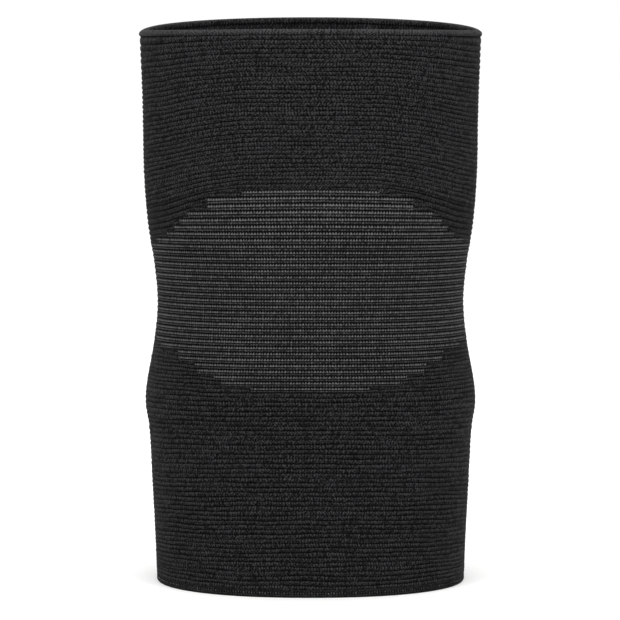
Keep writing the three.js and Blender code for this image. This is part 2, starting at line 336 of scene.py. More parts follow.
@dataclass(frozen=True)
class KnitFinish:
    """Knitted yarn: a ramp of shades from groove to fleck, with detail drawn from the knit's own UV map.

    ramp: shade and sRGB colour of each stop. What each detail adds to the shade at most: loop_shade the
    leaning legs of the loops, ridge_shade the crowns over the gaps, a painted highlight on each crown and
    painted shade in each gap, grain_shade a fibre's painted light and shadow, stitch_shade one stitch over
    another, tooth_shade the groove's teeth, which are painted shade, fibre_shade the fuzz and patch_shade
    large patches. tooth_reach and groove_edge: how far down the teeth reach and where they start, as shares
    of a course. slide: how far rows of stitches slide against one another, in wales.
    """

    name: str
    ramp: tuple[tuple[float, str], ...]
    loop_shade: float = 0.3
    ridge_shade: float = 0.75
    grain_shade: float = 0.65
    stitch_shade: float = 0.3
    tooth_reach: float = 0.12
    tooth_shade: float = 0.3
    tooth_blur: float = 0.04
    groove_edge: float = 0.95
    slide: float = 1.0
    rows_a_course: float = 4.0
    legs_a_course: float = 2.0
    fibre_shade: float = 0.6
    patch_shade: float = 0.05
    # Real fuzz is about a tenth as wide, too fine to show in the picture, so it is drawn coarser.
    fibre_mm: float = 0.6
    patch_mm: float = 22.0
    roughness: float = 0.82
    specular: float = 0.03
    sheen: float = 0.02
    sheen_roughness: float = 0.35
    sheen_code: str = "#8a8b90"
    bump_mm: float = 0.12
    bump_strength: float = 0.6

    def material(self) -> bpy.types.Material:
        """Builds the material: the shade attribute plus the detail of the stitches, through the ramp.

        Returns:
            The material, named for the yarn and how it is knitted.
        """
        result = bpy.data.materials.new(self.name)
        result.use_nodes = True
        tree = result.node_tree
        tree.nodes.clear()
        uv = add_node(tree, "ShaderNodeUVMap", {"uv_map": "knit"})
        knit = add_node(tree, "ShaderNodeSeparateXYZ", links={0: uv.outputs["UV"]})
        wale, course = knit.outputs["X"], knit.outputs["Y"]
        cell_v, slid, lean = self.slide_rows(tree, wale, course)
        legs = self.draw_legs(tree, course, lean)
        stitch, ridge, grain = self.draw_stitches(tree, cell_v, slid, lean)
        teeth = self.draw_teeth(tree, course, lean, stitch)
        fibre, patch = self.draw_fuzz(tree)
        # Each layer: what it reads, what it adds to the shade, and the middle that it counts from.
        layers = (
            (legs, self.loop_shade * 2, 0.25),
            (ridge, self.ridge_shade, 0.0),
            (grain, self.grain_shade, 0.0),
            (stitch, self.stitch_shade, 0.5),
            (teeth, -self.tooth_shade, 0.1),
            (fibre, self.fibre_shade, 0.5),
            (patch, self.patch_shade, 0.5),
        )
        start = -sum(share * middle for _, share, middle in layers)
        detail = None
        for source, share, _ in layers:
            detail = add_node(tree, "ShaderNodeMath", {"operation": "MULTIPLY_ADD", 1: share, 2: start},
                              {0: source} | ({2: detail} if detail else {})).outputs[0]
        shade = add_node(tree, "ShaderNodeAttribute", {"attribute_name": "shade"}).outputs["Fac"]
        # The paler a yarn is, the more its stitches show; in the grooves they hardly do.
        strength = add_node(tree, "ShaderNodeMath", {"operation": "MULTIPLY", 1: 2.0, "use_clamp": True},
                            {0: shade})
        mixed = add_node(tree, "ShaderNodeMath", {"operation": "MULTIPLY_ADD"},
                         {0: detail, 1: strength.outputs[0], 2: shade})
        ramp = add_node(tree, "ShaderNodeValToRGB", links={"Fac": mixed.outputs[0]})
        stops = ramp.color_ramp.elements
        stops[0].position, stops[-1].position = self.ramp[0][0], self.ramp[-1][0]
        for at, _ in self.ramp[1:-1]:
            stops.new(at)
        for stop, (_, code) in zip(stops, self.ramp):
            stop.color = linear_rgba(code)
        relief = add_node(tree, "ShaderNodeMath", {"operation": "ADD"}, {0: legs, 1: fibre})
        bump = add_node(tree, "ShaderNodeBump",
                        {"Strength": self.bump_strength, "Distance": self.bump_mm * MM},
                        {"Height": relief.outputs[0]})
        shader = add_node(tree, "ShaderNodeBsdfPrincipled", {
            "Roughness": self.roughness,
            "Specular IOR Level": self.specular,
            "Sheen Weight": self.sheen,
            "Sheen Roughness": self.sheen_roughness,
            "Sheen Tint": linear_rgba(self.sheen_code),
        }, {"Base Color": ramp.outputs["Color"], "Normal": bump.outputs["Normal"]})
        add_node(tree, "ShaderNodeOutputMaterial", links={"Surface": shader.outputs["BSDF"]})
        return result

    def slide_rows(self, tree: bpy.types.NodeTree, wale: bpy.types.NodeSocket,
                   course: bpy.types.NodeSocket) -> tuple[bpy.types.NodeSocket, ...]:
        """Parts each course into rows of stitches, and slides every row a little to one side.

        Args:
            tree: The material's nodes.
            wale: Wale count round the sleeve.
            course: Course count up the sleeve.

        Returns:
            Number of the row, wale count after sliding, and nearness to a crown from 0 in the gap to 0.5.
        """
        rows = add_node(tree, "ShaderNodeMath", {"operation": "MULTIPLY", 1: self.rows_a_course}, {0: course})
        cell_v = add_node(tree, "ShaderNodeMath", {"operation": "FLOOR"}, {0: rows.outputs[0]})
        chance = add_node(tree, "ShaderNodeTexWhiteNoise", {"noise_dimensions": "1D"},
                          {"W": cell_v.outputs[0]})
        slid = add_node(tree, "ShaderNodeMath", {"operation": "MULTIPLY_ADD", 1: self.slide},
                        {0: chance.outputs["Value"], 2: wale})
        lean = add_node(tree, "ShaderNodeMath", {"operation": "PINGPONG", 1: 0.5}, {0: slid.outputs[0]})
        return cell_v.outputs[0], slid.outputs[0], lean.outputs[0]

    def draw_legs(self, tree: bpy.types.NodeTree, course: bpy.types.NodeSocket,
                  lean: bpy.types.NodeSocket) -> bpy.types.NodeSocket:
        """Draws the loops' leaning legs: a fine ridge up the course, shifted by the nearness to a crown.

        Args:
            tree: The material's nodes.
            course: Course count up the sleeve.
            lean: Nearness to a crown.

        Returns:
            Height of the ridge from 0 to 0.5.
        """
        pace = add_node(tree, "ShaderNodeMath", {"operation": "MULTIPLY", 1: self.legs_a_course}, {0: course})
        leg = add_node(tree, "ShaderNodeMath", {"operation": "ADD"}, {0: pace.outputs[0], 1: lean})
        return add_node(tree, "ShaderNodeMath", {"operation": "PINGPONG", 1: 0.5},
                        {0: leg.outputs[0]}).outputs[0]

    def draw_stitches(self, tree: bpy.types.NodeTree, cell_v: bpy.types.NodeSocket,
                      slid: bpy.types.NodeSocket,
                      lean: bpy.types.NodeSocket) -> tuple[bpy.types.NodeSocket, ...]:
        """Draws single stitches, each a crown with a painted highlight between gaps with painted shade, and
        fibres in cells of half a wale.

        Args:
            tree: The material's nodes.
            cell_v: Number of the row of stitches.
            slid: Wale count after sliding.
            lean: Nearness to a crown.

        Returns:
            The stitch's own strength from 0 to 1, the crown or gap from -1 to 1, and a fibre's light less the
            shadow of the next, from -1 to 1.
        """
        cell_u = add_node(tree, "ShaderNodeMath", {"operation": "FLOOR"}, {0: slid})
        cell = add_node(tree, "ShaderNodeCombineXYZ", links={0: cell_u.outputs[0], 1: cell_v})
        stitch = add_node(tree, "ShaderNodeTexWhiteNoise", {"noise_dimensions": "2D"},
                          {"Vector": cell.outputs[0]}).outputs["Value"]
        crown = add_node(tree, "ShaderNodeMath", {"operation": "MULTIPLY_ADD", 1: 4.0, 2: -1.0}, {0: lean})
        ridge = add_node(tree, "ShaderNodeMath", {"operation": "MULTIPLY"}, {0: crown.outputs[0], 1: stitch})
        double = add_node(tree, "ShaderNodeMath", {"operation": "MULTIPLY", 1: 2.0}, {0: slid})
        half_u = add_node(tree, "ShaderNodeMath", {"operation": "FLOOR"}, {0: double.outputs[0]})
        next_u = add_node(tree, "ShaderNodeMath", {"operation": "ADD", 1: 1.0}, {0: half_u.outputs[0]})
        spots = [add_node(tree, "ShaderNodeCombineXYZ", links={0: place.outputs[0], 1: cell_v})
                 for place in (half_u, next_u)]
        lit, unlit = (add_node(tree, "ShaderNodeTexWhiteNoise", {"noise_dimensions": "2D"},
                               {"Vector": spot.outputs[0]}) for spot in spots)
        grain = add_node(tree, "ShaderNodeMath", {"operation": "SUBTRACT"},
                         {0: lit.outputs["Value"], 1: unlit.outputs["Value"]})
        return stitch, ridge.outputs[0], grain.outputs[0]

    def draw_teeth(self, tree: bpy.types.NodeTree, course: bpy.types.NodeSocket, lean: bpy.types.NodeSocket,
                   stitch: bpy.types.NodeSocket) -> bpy.types.NodeSocket:
        """Draws the painted shade of the groove on top of a course, which reaches down between the crowns
        like teeth.

        Args:
            tree: The material's nodes.
            course: Course count up the sleeve.
            lean: Nearness to a crown.
            stitch: The stitch's own strength, which sets the length of its tooth.

        Returns:
            1 in the groove and its teeth, 0 elsewhere.
        """
        phase = add_node(tree, "ShaderNodeMath", {"operation": "FRACT"}, {0: course})
        gap = add_node(tree, "ShaderNodeMath", {"operation": "MULTIPLY_ADD", 1: -2.0, 2: 1.0}, {0: lean})
        tooth = add_node(tree, "ShaderNodeMath", {"operation": "MULTIPLY"}, {0: gap.outputs[0], 1: stitch})
        edge = add_node(tree, "ShaderNodeMath", {"operation": "MULTIPLY_ADD", 1: 2 * self.tooth_reach},
                        {0: tooth.outputs[0], 2: phase.outputs[0]})
        return add_node(tree, "ShaderNodeMapRange", {
            "interpolation_type": "SMOOTHSTEP", "From Min": self.groove_edge - self.tooth_blur,
            "From Max": self.groove_edge + self.tooth_blur}, {"Value": edge.outputs[0]}).outputs["Result"]

    def draw_fuzz(self, tree: bpy.types.NodeTree) -> tuple[bpy.types.NodeSocket, ...]:
        """Draws the yarns' fuzz and the faint large patches as noise in object space.

        Args:
            tree: The material's nodes.

        Returns:
            Fuzz and patches, both from 0 to 1.
        """
        place = add_node(tree, "ShaderNodeTexCoord")
        sizes = (self.fibre_mm, self.patch_mm)
        fibre, patch = (add_node(tree, "ShaderNodeTexNoise", {"Scale": 1 / (size * MM), "Detail": 1.0},
                                 {"Vector": place.outputs["Object"]}) for size in sizes)
        return fibre.outputs["Fac"], patch.outputs["Fac"]


# Matte charcoal nylon over elastic, rib knitted: dull grey ridges, grooves painted near-black as painted
# shade, and small pale flecks.
BODY_YARN = KnitFinish(
    name="charcoal_elastic_yarn_rib_knitted",
    ramp=((0.0, "#040404"), (0.3, "#111112"), (0.6, "#202021"), (1.0, "#363637")),
)

# The same charcoal yarn with one pale grey course in each rib: pale zigzag lines on a dark ground.
PANEL_YARN = KnitFinish(
    name="charcoal_and_grey_elastic_yarn_stripe_knitted",
    ramp=((0.0, "#040404"), (0.3, "#121212"), (0.5, "#1f1f1f"), (0.8, "#3b3b3b"), (1.0, "#5a5a5a")),
    loop_shade=0.12,
    ridge_shade=0.3,
    grain_shade=0.25,
    stitch_shade=0.1,
    fibre_shade=0.3,
    slide=0.15,
    tooth_reach=0.16,
    tooth_shade=0.5,
    groove_edge=0.9,
    sheen_code="#8c8c8c",
)

# The edge course curls over on itself: smoother, and painted paler, since its crown turns up to the light.
THIGH_WELT_YARN = KnitFinish(
    name="charcoal_elastic_yarn_rolled_edge",
    ramp=((0.0, "#080808"), (0.3, "#141415"), (0.6, "#232324"), (1.0, "#424243")),
    loop_shade=0.06,
)

# The calf edge is turned in and sewn, so denser; it is darker than the open knit through painted shade in
# its channels and under its roll.
CALF_WELT_YARN = KnitFinish(
    name="charcoal_elastic_yarn_turned_hem",
    ramp=((0.0, "#060606"), (0.3, "#131313"), (0.6, "#202020"), (1.0, "#363636")),
    loop_shade=0.06,
)

# Spun polyester sewing thread: a little paler and smoother than the knit.
HEM_THREAD = KnitFinish(
    name="grey_polyester_thread_sewn",
    ramp=((0.0, "#161617"), (0.6, "#323233"), (1.0, "#5c5c5d")),
    stitch_shade=0.4,
    roughness=0.6,
    specular=0.25,
)


@dataclass
class MeshParts:
    """Faces gathered as arrays of grid rows and unrolled columns, ready for one mesh."""

    rows: list[np.ndarray] = field(default_factory=list)
    columns: list[np.ndarray] = field(default_factory=list)
    flat: list[bool] = field(default_factory=list)

    def add(self, rows: list[np.ndarray], columns: list[np.ndarray], flat: bool = False) -> None:
        """Adds faces of one kind.

        Args:
            rows: Grid row of each corner, one array a corner.
            columns: Column of each corner, not wrapped round, one array a corner.
            flat: Whether the faces are shaded flat.
        """
        if rows[0].size:
            self.rows.append(np.stack(rows, axis=1))
            self.columns.append(np.stack(columns, axis=1))
            self.flat.append(flat)

    def build(self, name: str, points: np.ndarray, row_place: np.ndarray, columns_a_wale: float,
              shade: np.ndarray) -> bpy.types.Object:
        """Makes the mesh object, with its knit UV map (wale, course) and its shade attribute.

        Args:
            name: Name of the piece.
            points: Grid points in mm, rows by columns by three.
            row_place: Course count at each grid row, for the UV map.
            columns_a_wale: Grid columns in a wale, for the UV map.
            shade: Shade at each grid point.

        Returns:
            The linked object, in metres.
        """
        tall, round_ = points.shape[:2]
        ids = [r % tall * round_ + c % round_ for r, c in zip(self.rows, self.columns)]
        corners = np.concatenate([a.ravel() for a in ids])
        used, corners = np.unique(corners, return_inverse=True)
        counts = np.concatenate([np.full(len(a), a.shape[1]) for a in ids])
        flat = np.concatenate([np.full(len(a), f) for a, f in zip(ids, self.flat)])
        mesh = bpy.data.meshes.new(name)
        mesh.vertices.add(len(used))
        mesh.vertices.foreach_set("co", (points.reshape(-1, 3)[used] * MM).astype(np.float32).ravel())
        mesh.loops.add(len(corners))
        mesh.loops.foreach_set("vertex_index", corners.astype(np.int32))
        mesh.polygons.add(len(counts))
        mesh.polygons.foreach_set("loop_start", (np.cumsum(counts) - counts).astype(np.int32))
        mesh.polygons.foreach_set("use_smooth", ~flat)
        mesh.update(calc_edges=True)
        layer = mesh.uv_layers.new(name="knit")
        u = np.concatenate([c.ravel() for c in self.columns]) / columns_a_wale
        v = np.concatenate([row_place[r].ravel() for r in self.rows])
        layer.data.foreach_set("uv", np.stack([u, v], axis=1).astype(np.float32).ravel())
        attribute = mesh.attributes.new("shade", "FLOAT", "POINT")
        attribute.data.foreach_set("value", shade.ravel()[used].astype(np.float32))
        mesh.validate()
        piece = bpy.data.objects.new(name, mesh)
        bpy.context.scene.collection.objects.link(piece)
        return piece


def dress(piece: bpy.types.Object, material: bpy.types.Material, nodes: tuple[str, ...]) -> None:
    """Gives a piece its material and body, and hides the CAD solids that it stands for.

    Args:
        piece: The piece.
        material: Its finish.
        nodes: Names of the CAD solids.
    """
    piece.data.materials.append(material)
    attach(piece, "root")
    if nodes:
        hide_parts(*nodes)
    LOG.info("%s: %d faces", piece.name, len(piece.data.polygons))


@dataclass
class KnitTube:
    """The whole cloth as one grid, rows up the sleeve by columns round it, from which the pieces are cut.

    Lengths are in mm. A blur is a pair: rows or courses up the sleeve, then columns round it.
    """

    form: LegForm
    wales: int = 324
    columns_a_wale: int = 2
    calf_courses: int = 42
    thigh_courses: int = 34
    ribs: int = 34
    rib_pitch: float = 2.5
    panel_foot: float = 86.0
    hem_side: float = 3.1
    welt_side: float = 238.4
    thigh_growth: float = 0.12
    girth_levels: int = 49
    girth_turns: int = 361
    seed: int = 11

    # Relief: how the grooves wander and differ in depth, and loops in height.
    crest_out: float = 0.05
    wander_mm: float = 0.16
    wander_blur: tuple[float, float] = (0.6, 9.0)
    groove_depth: float = 0.82
    groove_spread: float = 0.3
    groove_range: tuple[float, float] = (0.12, 1.05)
    groove_blur: tuple[float, float] = (0.3, 7.0)
    loop_height: float = 0.12
    rib_loop_height: float = 0.08
    panel_blend_degrees: float = 9.0
    wall: float = 2.2
    inner_ripple: float = 0.06
    inner_blur: tuple[float, float] = (0.5, 3.0)

    # Where courses are pressed together beside the panel, and how their sinking fades up to the welt.
    crowding: float = 0.34
    crowded_courses: int = 2
    crowd_height: float = 2.0
    crowd_room: tuple[float, float] = (1.0, 7.0)
    crowd_calm: float = 0.9
    sink_fade: float = 0.45

    # Shades: by chance from loop to loop, from yarn to yarn, in dashes along a course and in single flecks.
    loop_shade: float = 0.04
    leg_shade: float = 0.12
    dash_shade: float = 0.05
    dash_blur: tuple[float, float] = (0.2, 1.6)
    groove_chance: float = 0.4
    fleck_share: float = 0.09
    fleck_shade: float = 0.3
    # Painted shade on the crowded courses beside the panel's shoulders.
    crowd_shade: float = 0.05
    # Painted shade on the calf: full below the panel's foot, gone calf_shade_end mm above it, less near the
    # hem.
    calf_shade: float = 0.06
    calf_shade_end: float = 80.0
    hem_lift: tuple[float, float] = (-20.0, 30.0)
    inner_shade: float = 0.34
    inner_spread: float = 0.05

    # Flanks: degrees from the front where they start and end, and what changes there. These tones are fitted
    # to the picture's front view: painted shade darkens the thigh's flanks and deepens their grooves, the
    # calf's grooves get less of it, and flank_lift paints all flanks a little paler. From the side they show
    # as a darker band on the thigh.
    flank_start: tuple[float, float] = (50.0, 85.0)
    flank_end: tuple[float, float] = (95.0, 130.0)
    flank_rise: float = 50.0
    flank_shade: float = 0.19
    flank_lift: float = 0.05
    flank_yarns: float = 0.6
    flank_lumps: float = 0.07
    lump_blur: tuple[float, float] = (0.5, 4.0)
    thigh_flank_groove: float = 0.5
    calf_flank_groove: float = -0.35

    # Striped ribs: chance in their shades, and how much paler the uppermost ones are painted, as painted
    # light from above.
    rib_chance: float = 0.5
    rib_loop_shade: float = 0.02
    rib_soft_shade: float = 0.02
    rib_soft_blur: tuple[float, float] = (0.3, 10.0)
    rib_top_shade: float = 0.09
    rib_top: tuple[float, float] = (0.7, 0.95)

    columns: int = field(init=False)
    knee_start: int = field(init=False)
    knee_end: int = field(init=False)
    rows: int = field(init=False)
    rng: np.random.Generator = field(init=False, repr=False)
    plain_place: np.ndarray = field(init=False, repr=False)
    rib_place: np.ndarray = field(init=False, repr=False)
    inner_side: np.ndarray = field(init=False, repr=False)
    angle: np.ndarray = field(init=False, repr=False)
    middle: np.ndarray = field(init=False, repr=False)
    mask: np.ndarray = field(init=False, repr=False)
    plain_shade: np.ndarray = field(init=False, repr=False)
    rib_shade: np.ndarray = field(init=False, repr=False)
    points: np.ndarray = field(init=False, repr=False)

    def __post_init__(self) -> None:
        """Counts the rows, then lays the points and shades of the whole grid."""
        self.columns = self.wales * self.columns_a_wale
        self.knee_start = self.calf_courses * PLAIN_ROWS
        self.knee_end = self.knee_start + self.ribs * RIB_ROWS
        self.rows = self.knee_end + self.thigh_courses * PLAIN_ROWS
        self.rng = np.random.default_rng(self.seed)
        row = np.arange(self.rows + 1)
        places = np.array(COURSE_SHAPES[CourseKind.PLAIN].places)
        self.plain_place = row // PLAIN_ROWS + places[row % PLAIN_ROWS]
        # 1 at the crown of a loop and 0 between two wales.
        self.middle = (np.arange(self.columns) % self.columns_a_wale)[None, :]
        edges = self.course_edges()
        side = np.interp(self.plain_place, np.arange(len(edges)), edges)
        self.angle = self.wale_angles(side)
        self.mask = self.panel_mask()
        self.lay(side, len(edges))

    @property
    def panel_top(self) -> float:
        """Side height of the last row of the knee in mm."""
        return self.panel_foot + self.ribs * self.rib_pitch

    def course_edges(self) -> np.ndarray:
        """Side heights of the grooves between plain courses, from the hem to the welt.

        Returns:
            One height a groove, in mm: even steps up the front on the calf, growing ones on the thigh.
        """
        front = [float(self.form.height(np.array(0.0), np.array(s)))
                 for s in (self.hem_side, self.panel_foot, self.panel_top, self.welt_side)]
        calf = self.form.side_at_front(np.linspace(front[0], front[1], self.calf_courses + 1))
        knee = np.linspace(self.panel_foot, self.panel_top, self.ribs * RIB_ROWS // PLAIN_ROWS + 1)
        share = np.linspace(0, 1, self.thigh_courses + 1)
        share = share * (1 - self.thigh_growth / 2) + share ** 2 * self.thigh_growth / 2
        thigh = self.form.side_at_front(front[2] + (front[3] - front[2]) * share)
        return np.concatenate([calf[:-1], knee[:-1], thigh])

    def wale_angles(self, sides: np.ndarray) -> np.ndarray:
        """Angle of each column at equal shares of the girth, by way of the arc length of a table of courses.

        Args:
            sides: Side height of each row in mm.

        Returns:
            Angles in radians, rows by columns, from the back centre round by the front.
        """
        half = self.columns // 2
        levels = np.linspace(0, self.form.side_height, self.girth_levels)
        turn = np.linspace(0, np.pi, self.girth_turns)
        curve = self.form.point(turn[None, :], levels[:, None], 0.0)
        steps = np.linalg.norm(np.diff(curve[..., :2], axis=1), axis=2)
        length = np.concatenate([np.zeros((len(levels), 1)), np.cumsum(steps, axis=1)], axis=1)
        shares = np.linspace(0, 1, half + 1)
        table = np.array([np.interp(shares, run / run[-1], turn) for run in length])
        at = np.clip(sides / levels[1], 0, len(levels) - 1.001)
        low = at.astype(int)
        mix = (at - low)[:, None]
        right = table[low] * (1 - mix) + table[low + 1] * mix
        return np.concatenate([-right[:, :0:-1], right[:, :half]], axis=1)

    def sink(self, side: np.ndarray) -> tuple[np.ndarray, np.ndarray]:
        """How far courses sink beside the panel's shoulders, where its upper ribs are short rows.

        Past the ends of the short ribs, courses are pressed to two thirds of their height, and the thigh's
        courses reach down after them, less and less up to the welt.

        Args:
            side: Side height of each row in mm.

        Returns:
            Mm that each point sinks, and how crowded its course is from 0 to 1, both rows by columns.
        """
        line = np.array(SHOULDER_LINE)
        shoulder = hermite(np.radians(line[:, 0]), line[:, 1], np.abs(self.angle))
        tall = side[:, None]
        room = self.panel_top - shoulder
        fade = np.clip((self.welt_side - tall) / (self.welt_side - self.panel_top), 0, 1) ** self.sink_fade
        above = np.clip(tall - shoulder, 0, room)
        crowd = smooth_step(0.0, self.crowd_height, above) * smooth_step(*self.crowd_room, room)
        return self.crowding * above * fade, crowd * (tall < self.panel_top)

    def lay(self, side: np.ndarray, courses: int) -> None:
        """Works out every point's place and shade, as whole arrays.

        A point lies at its course's side height, less what the course sinks, plus its groove's wander and its
        loop's swing; its depth under the crest is what its height over the groove leaves.

        Args:
            side: Side height of each row in mm.
            courses: How many grooves there are up the sleeve.
        """
        plain = COURSE_SHAPES[CourseKind.PLAIN]
        row = np.arange(self.rows + 1)
        course, step = row // PLAIN_ROWS, row % PLAIN_ROWS
        # The grooves wander up and down, fade and deepen over a few wales, and every loop differs a little.
        grid = (courses, self.columns)
        wander = self.wander_mm * smooth_noise(self.rng, *grid, *self.wander_blur)
        wander[[0, -1]] = 0
        depth = self.groove_depth + self.groove_spread * smooth_noise(self.rng, *grid, *self.groove_blur)
        groove = np.clip(depth, *self.groove_range)[course]
        loops = self.rng.standard_normal((courses, self.wales))
        loops = loops.repeat(self.columns_a_wale, axis=1)[course]
        flecks = self.rng.random((courses, self.wales)) < self.fleck_share
        flecks = flecks.repeat(self.columns_a_wale, axis=1)[course]
        down, crowd = self.sink(side)
        share = (self.plain_place - course)[:, None]
        swing = (self.middle - 0.5) * np.array(plain.swings)[step][:, None]
        shift = wander[course] * (1 - share) + wander[np.minimum(course + 1, courses - 1)] * share
        shift = (shift + swing) * (1 - self.crowd_calm * crowd)
        # Two crowded courses look like one, so there the shape is read at half the pace.
        pace = self.plain_place / self.crowded_courses % 1
        slow_high, slow_shade = (np.interp(pace, plain.places + (1.0,), table + table[:1])[:, None]
                                 for table in (plain.heights, plain.shades))
        high = np.array(plain.heights)[step][:, None] * (1 + self.loop_height * loops)
        high = np.where((step == 0)[:, None], plain.heights[1] * (1 - groove), high)
        high = high * (1 - crowd) + slow_high * crowd
        self.plain_shade = self.shade_plain(side, step, groove, loops, flecks, slow_shade, crowd)
        self.inner_side = side[:, None] - down
        sides = self.inner_side + shift
        knee = slice(self.knee_start, self.knee_end + 1)
        sides[knee], high[knee] = self.lay_ribs(side[knee], self.inner_side[knee], shift[knee], high[knee])
        self.points = self.form.point(self.angle, sides, plain.heights[2] - self.crest_out - high)

    def shade_plain(self, side: np.ndarray, step: np.ndarray, groove: np.ndarray, loops: np.ndarray,
                    flecks: np.ndarray, slow_shade: np.ndarray, crowd: np.ndarray) -> np.ndarray:
        """Shades the plain knit: its course's table, then flecks, crowding, painted shade of calf and flanks,
        and chance.

        Args:
            side: Side height of each row in mm.
            step: Row of the course at each grid row.
            groove: Depth share of the groove at each point.
            loops: Chance of each loop, with deviation 1.
            flecks: Which loops have a fleck.
            slow_shade: Shade of each row where courses are crowded.
            crowd: How crowded each point is.

        Returns:
            Shades, rows by columns.
        """
        plain = COURSE_SHAPES[CourseKind.PLAIN]
        turn = np.abs(self.angle)
        aslant = smooth_step(*np.radians(self.flank_start), turn)
        aslant = aslant * (1 - smooth_step(*np.radians(self.flank_end), turn))
        upper = smooth_step(self.panel_foot, self.panel_foot + self.flank_rise, side)[:, None]
        shade = np.array(plain.shades)[step][:, None] + self.loop_shade * loops
        # In the picture, the grooves look deeper at the thigh's flanks and shallower at the calf's, so their
        # painted shade is deepened and lessened there.
        groove_turn = self.thigh_flank_groove - self.calf_flank_groove
        deeper = 1 + aslant * (groove_turn * upper + self.calf_flank_groove)
        bare = plain.shades[0] + (plain.shades[1] - plain.shades[0]) * (1 - groove * deeper)
        shade = np.where((step == 0)[:, None], bare, shade)
        shade = shade * (1 - crowd) + slow_shade * crowd
        fleck = flecks & (step == 2)[:, None] & (self.middle == 1)
        # The calf and the thigh's flanks are darkened to match the picture: painted shade, for less light
        # falling there. Why they look so isn't known.
        calf = 1 - smooth_step(self.panel_foot, self.panel_foot + self.calf_shade_end, side)
        painted_dimming = self.calf_shade * calf[:, None] * smooth_step(*self.hem_lift, side)[:, None]
        painted_dimming = painted_dimming + self.flank_shade * aslant * upper
        lumps = self.flank_lumps * smooth_noise(self.rng, len(step), self.columns, *self.lump_blur)
        # Crowded courses are darkened as painted shade, and flank_lift paints the flanks a little paler as
        # painted light.
        return (shade + self.fleck_shade * fleck - painted_dimming - self.crowd_shade * crowd
                + aslant * (lumps + self.flank_lift)
                + (1 + self.flank_yarns * aslant) * self.mottle(plain, step, 1.0))

    def lay_ribs(self, side: np.ndarray, low: np.ndarray, shift: np.ndarray,
                 high: np.ndarray) -> tuple[np.ndarray, np.ndarray]:
        """Places the striped ribs in the knee rows, which keep their own places further round.

        Args:
            side: Side height of each knee row in mm.
            low: The same after sinking, rows by columns.
            shift: Small shifts of the plain points in mm.
            high: Heights of the plain points over their groove in mm.

        Returns:
            Side heights and heights over the groove of all points of the knee rows.
        """
        striped = COURSE_SHAPES[CourseKind.STRIPED]
        count = np.arange(len(side))
        rib, part = count // RIB_ROWS, count % RIB_ROWS
        self.rib_place = rib + np.array(striped.places)[part]
        rib_side = (self.panel_foot + self.rib_pitch * self.rib_place)[:, None]
        reach = np.radians(np.array(PANEL_REACH + (0.0, 0.0)))[rib][:, None]
        angle = np.abs(self.angle[self.knee_start:self.knee_end + 1])
        near = 1 - smooth_step(0.0, np.radians(self.panel_blend_degrees), angle - reach)
        inside = self.point_mask()
        zigzag = (self.middle - 0.5) * np.array(striped.swings)[part][:, None]
        loops = self.rng.standard_normal((self.ribs + 1, self.wales))
        loops = loops.repeat(self.columns_a_wale, axis=1)[rib]
        soft = smooth_noise(self.rng, self.ribs + 1, self.columns, *self.rib_soft_blur)[rib]
        # The rows of the pale line differ twice as much from loop to loop.
        line_share = 1 + np.isin(part, striped.line_rows)[:, None]
        rib_high = np.array(striped.heights)[part][:, None] * (1 + self.rib_loop_height * loops)
        shade = np.array(striped.shades)[part][:, None] + self.rib_loop_shade * line_share * loops
        shade = shade + self.rib_soft_shade * soft
        # Painted light: the uppermost ribs are paler, as if lit from above.
        shade = shade + self.rib_top_shade * smooth_step(*self.rib_top, rib / self.ribs)[:, None]
        shade = np.where((part == 0)[:, None], striped.shades[0], shade)
        self.rib_shade = shade + self.mottle(striped, part, self.rib_chance)
        beside = low + near * (rib_side - side[:, None]) + shift * (1 - near)
        return np.where(inside, rib_side + zigzag, beside), np.where(inside, rib_high, high)

    def mottle(self, shape: CourseShape, step: np.ndarray, share: float) -> np.ndarray:
        """Shade of single yarns over the mean: crowns painted paler than gaps, each leg of a loop a little
        different.

        Args:
            shape: The course's shape.
            step: Row of the course at each grid row.
            share: How much of the chance differences these yarns have.

        Returns:
            What to add to the shade, rows by columns.
        """
        # Painted highlight on the crowns and painted shade in the gaps.
        crown = np.array(shape.crowns)[step][:, None] * (self.middle - 0.5)
        single = self.rng.standard_normal((len(step), self.columns))
        dashes = smooth_noise(self.rng, len(step), self.columns, *self.dash_blur)
        strength = share * np.where(step == 0, self.groove_chance, 1.0)[:, None]
        return crown + strength * (self.leg_shade * single + self.dash_shade * dashes)

    def panel_mask(self) -> np.ndarray:
        """Picks the cells of the panel.

        Returns:
            Ribs by columns: whether the middle of the cell is within the rib's reach.
        """
        angle = self.angle[self.knee_start + RIB_ROWS // 2 + RIB_ROWS * np.arange(self.ribs)]
        cell = (angle + np.roll(angle, -1, axis=1)) / 2
        cell[:, -1] = np.pi
        reach = np.radians(np.array(PANEL_REACH + (0.0,) * (self.ribs - len(PANEL_REACH))))
        return np.abs(cell) < reach[:, None]

    def point_mask(self) -> np.ndarray:
        """Picks the points of the knee rows that touch a cell of the panel.

        Returns:
            Knee rows by columns.
        """
        fine = self.mask.repeat(RIB_ROWS, axis=0)
        empty = np.zeros((1, self.columns), dtype=bool)
        rows = np.concatenate([fine, empty]) | np.concatenate([empty, fine])
        return rows | np.roll(rows, 1, axis=1)

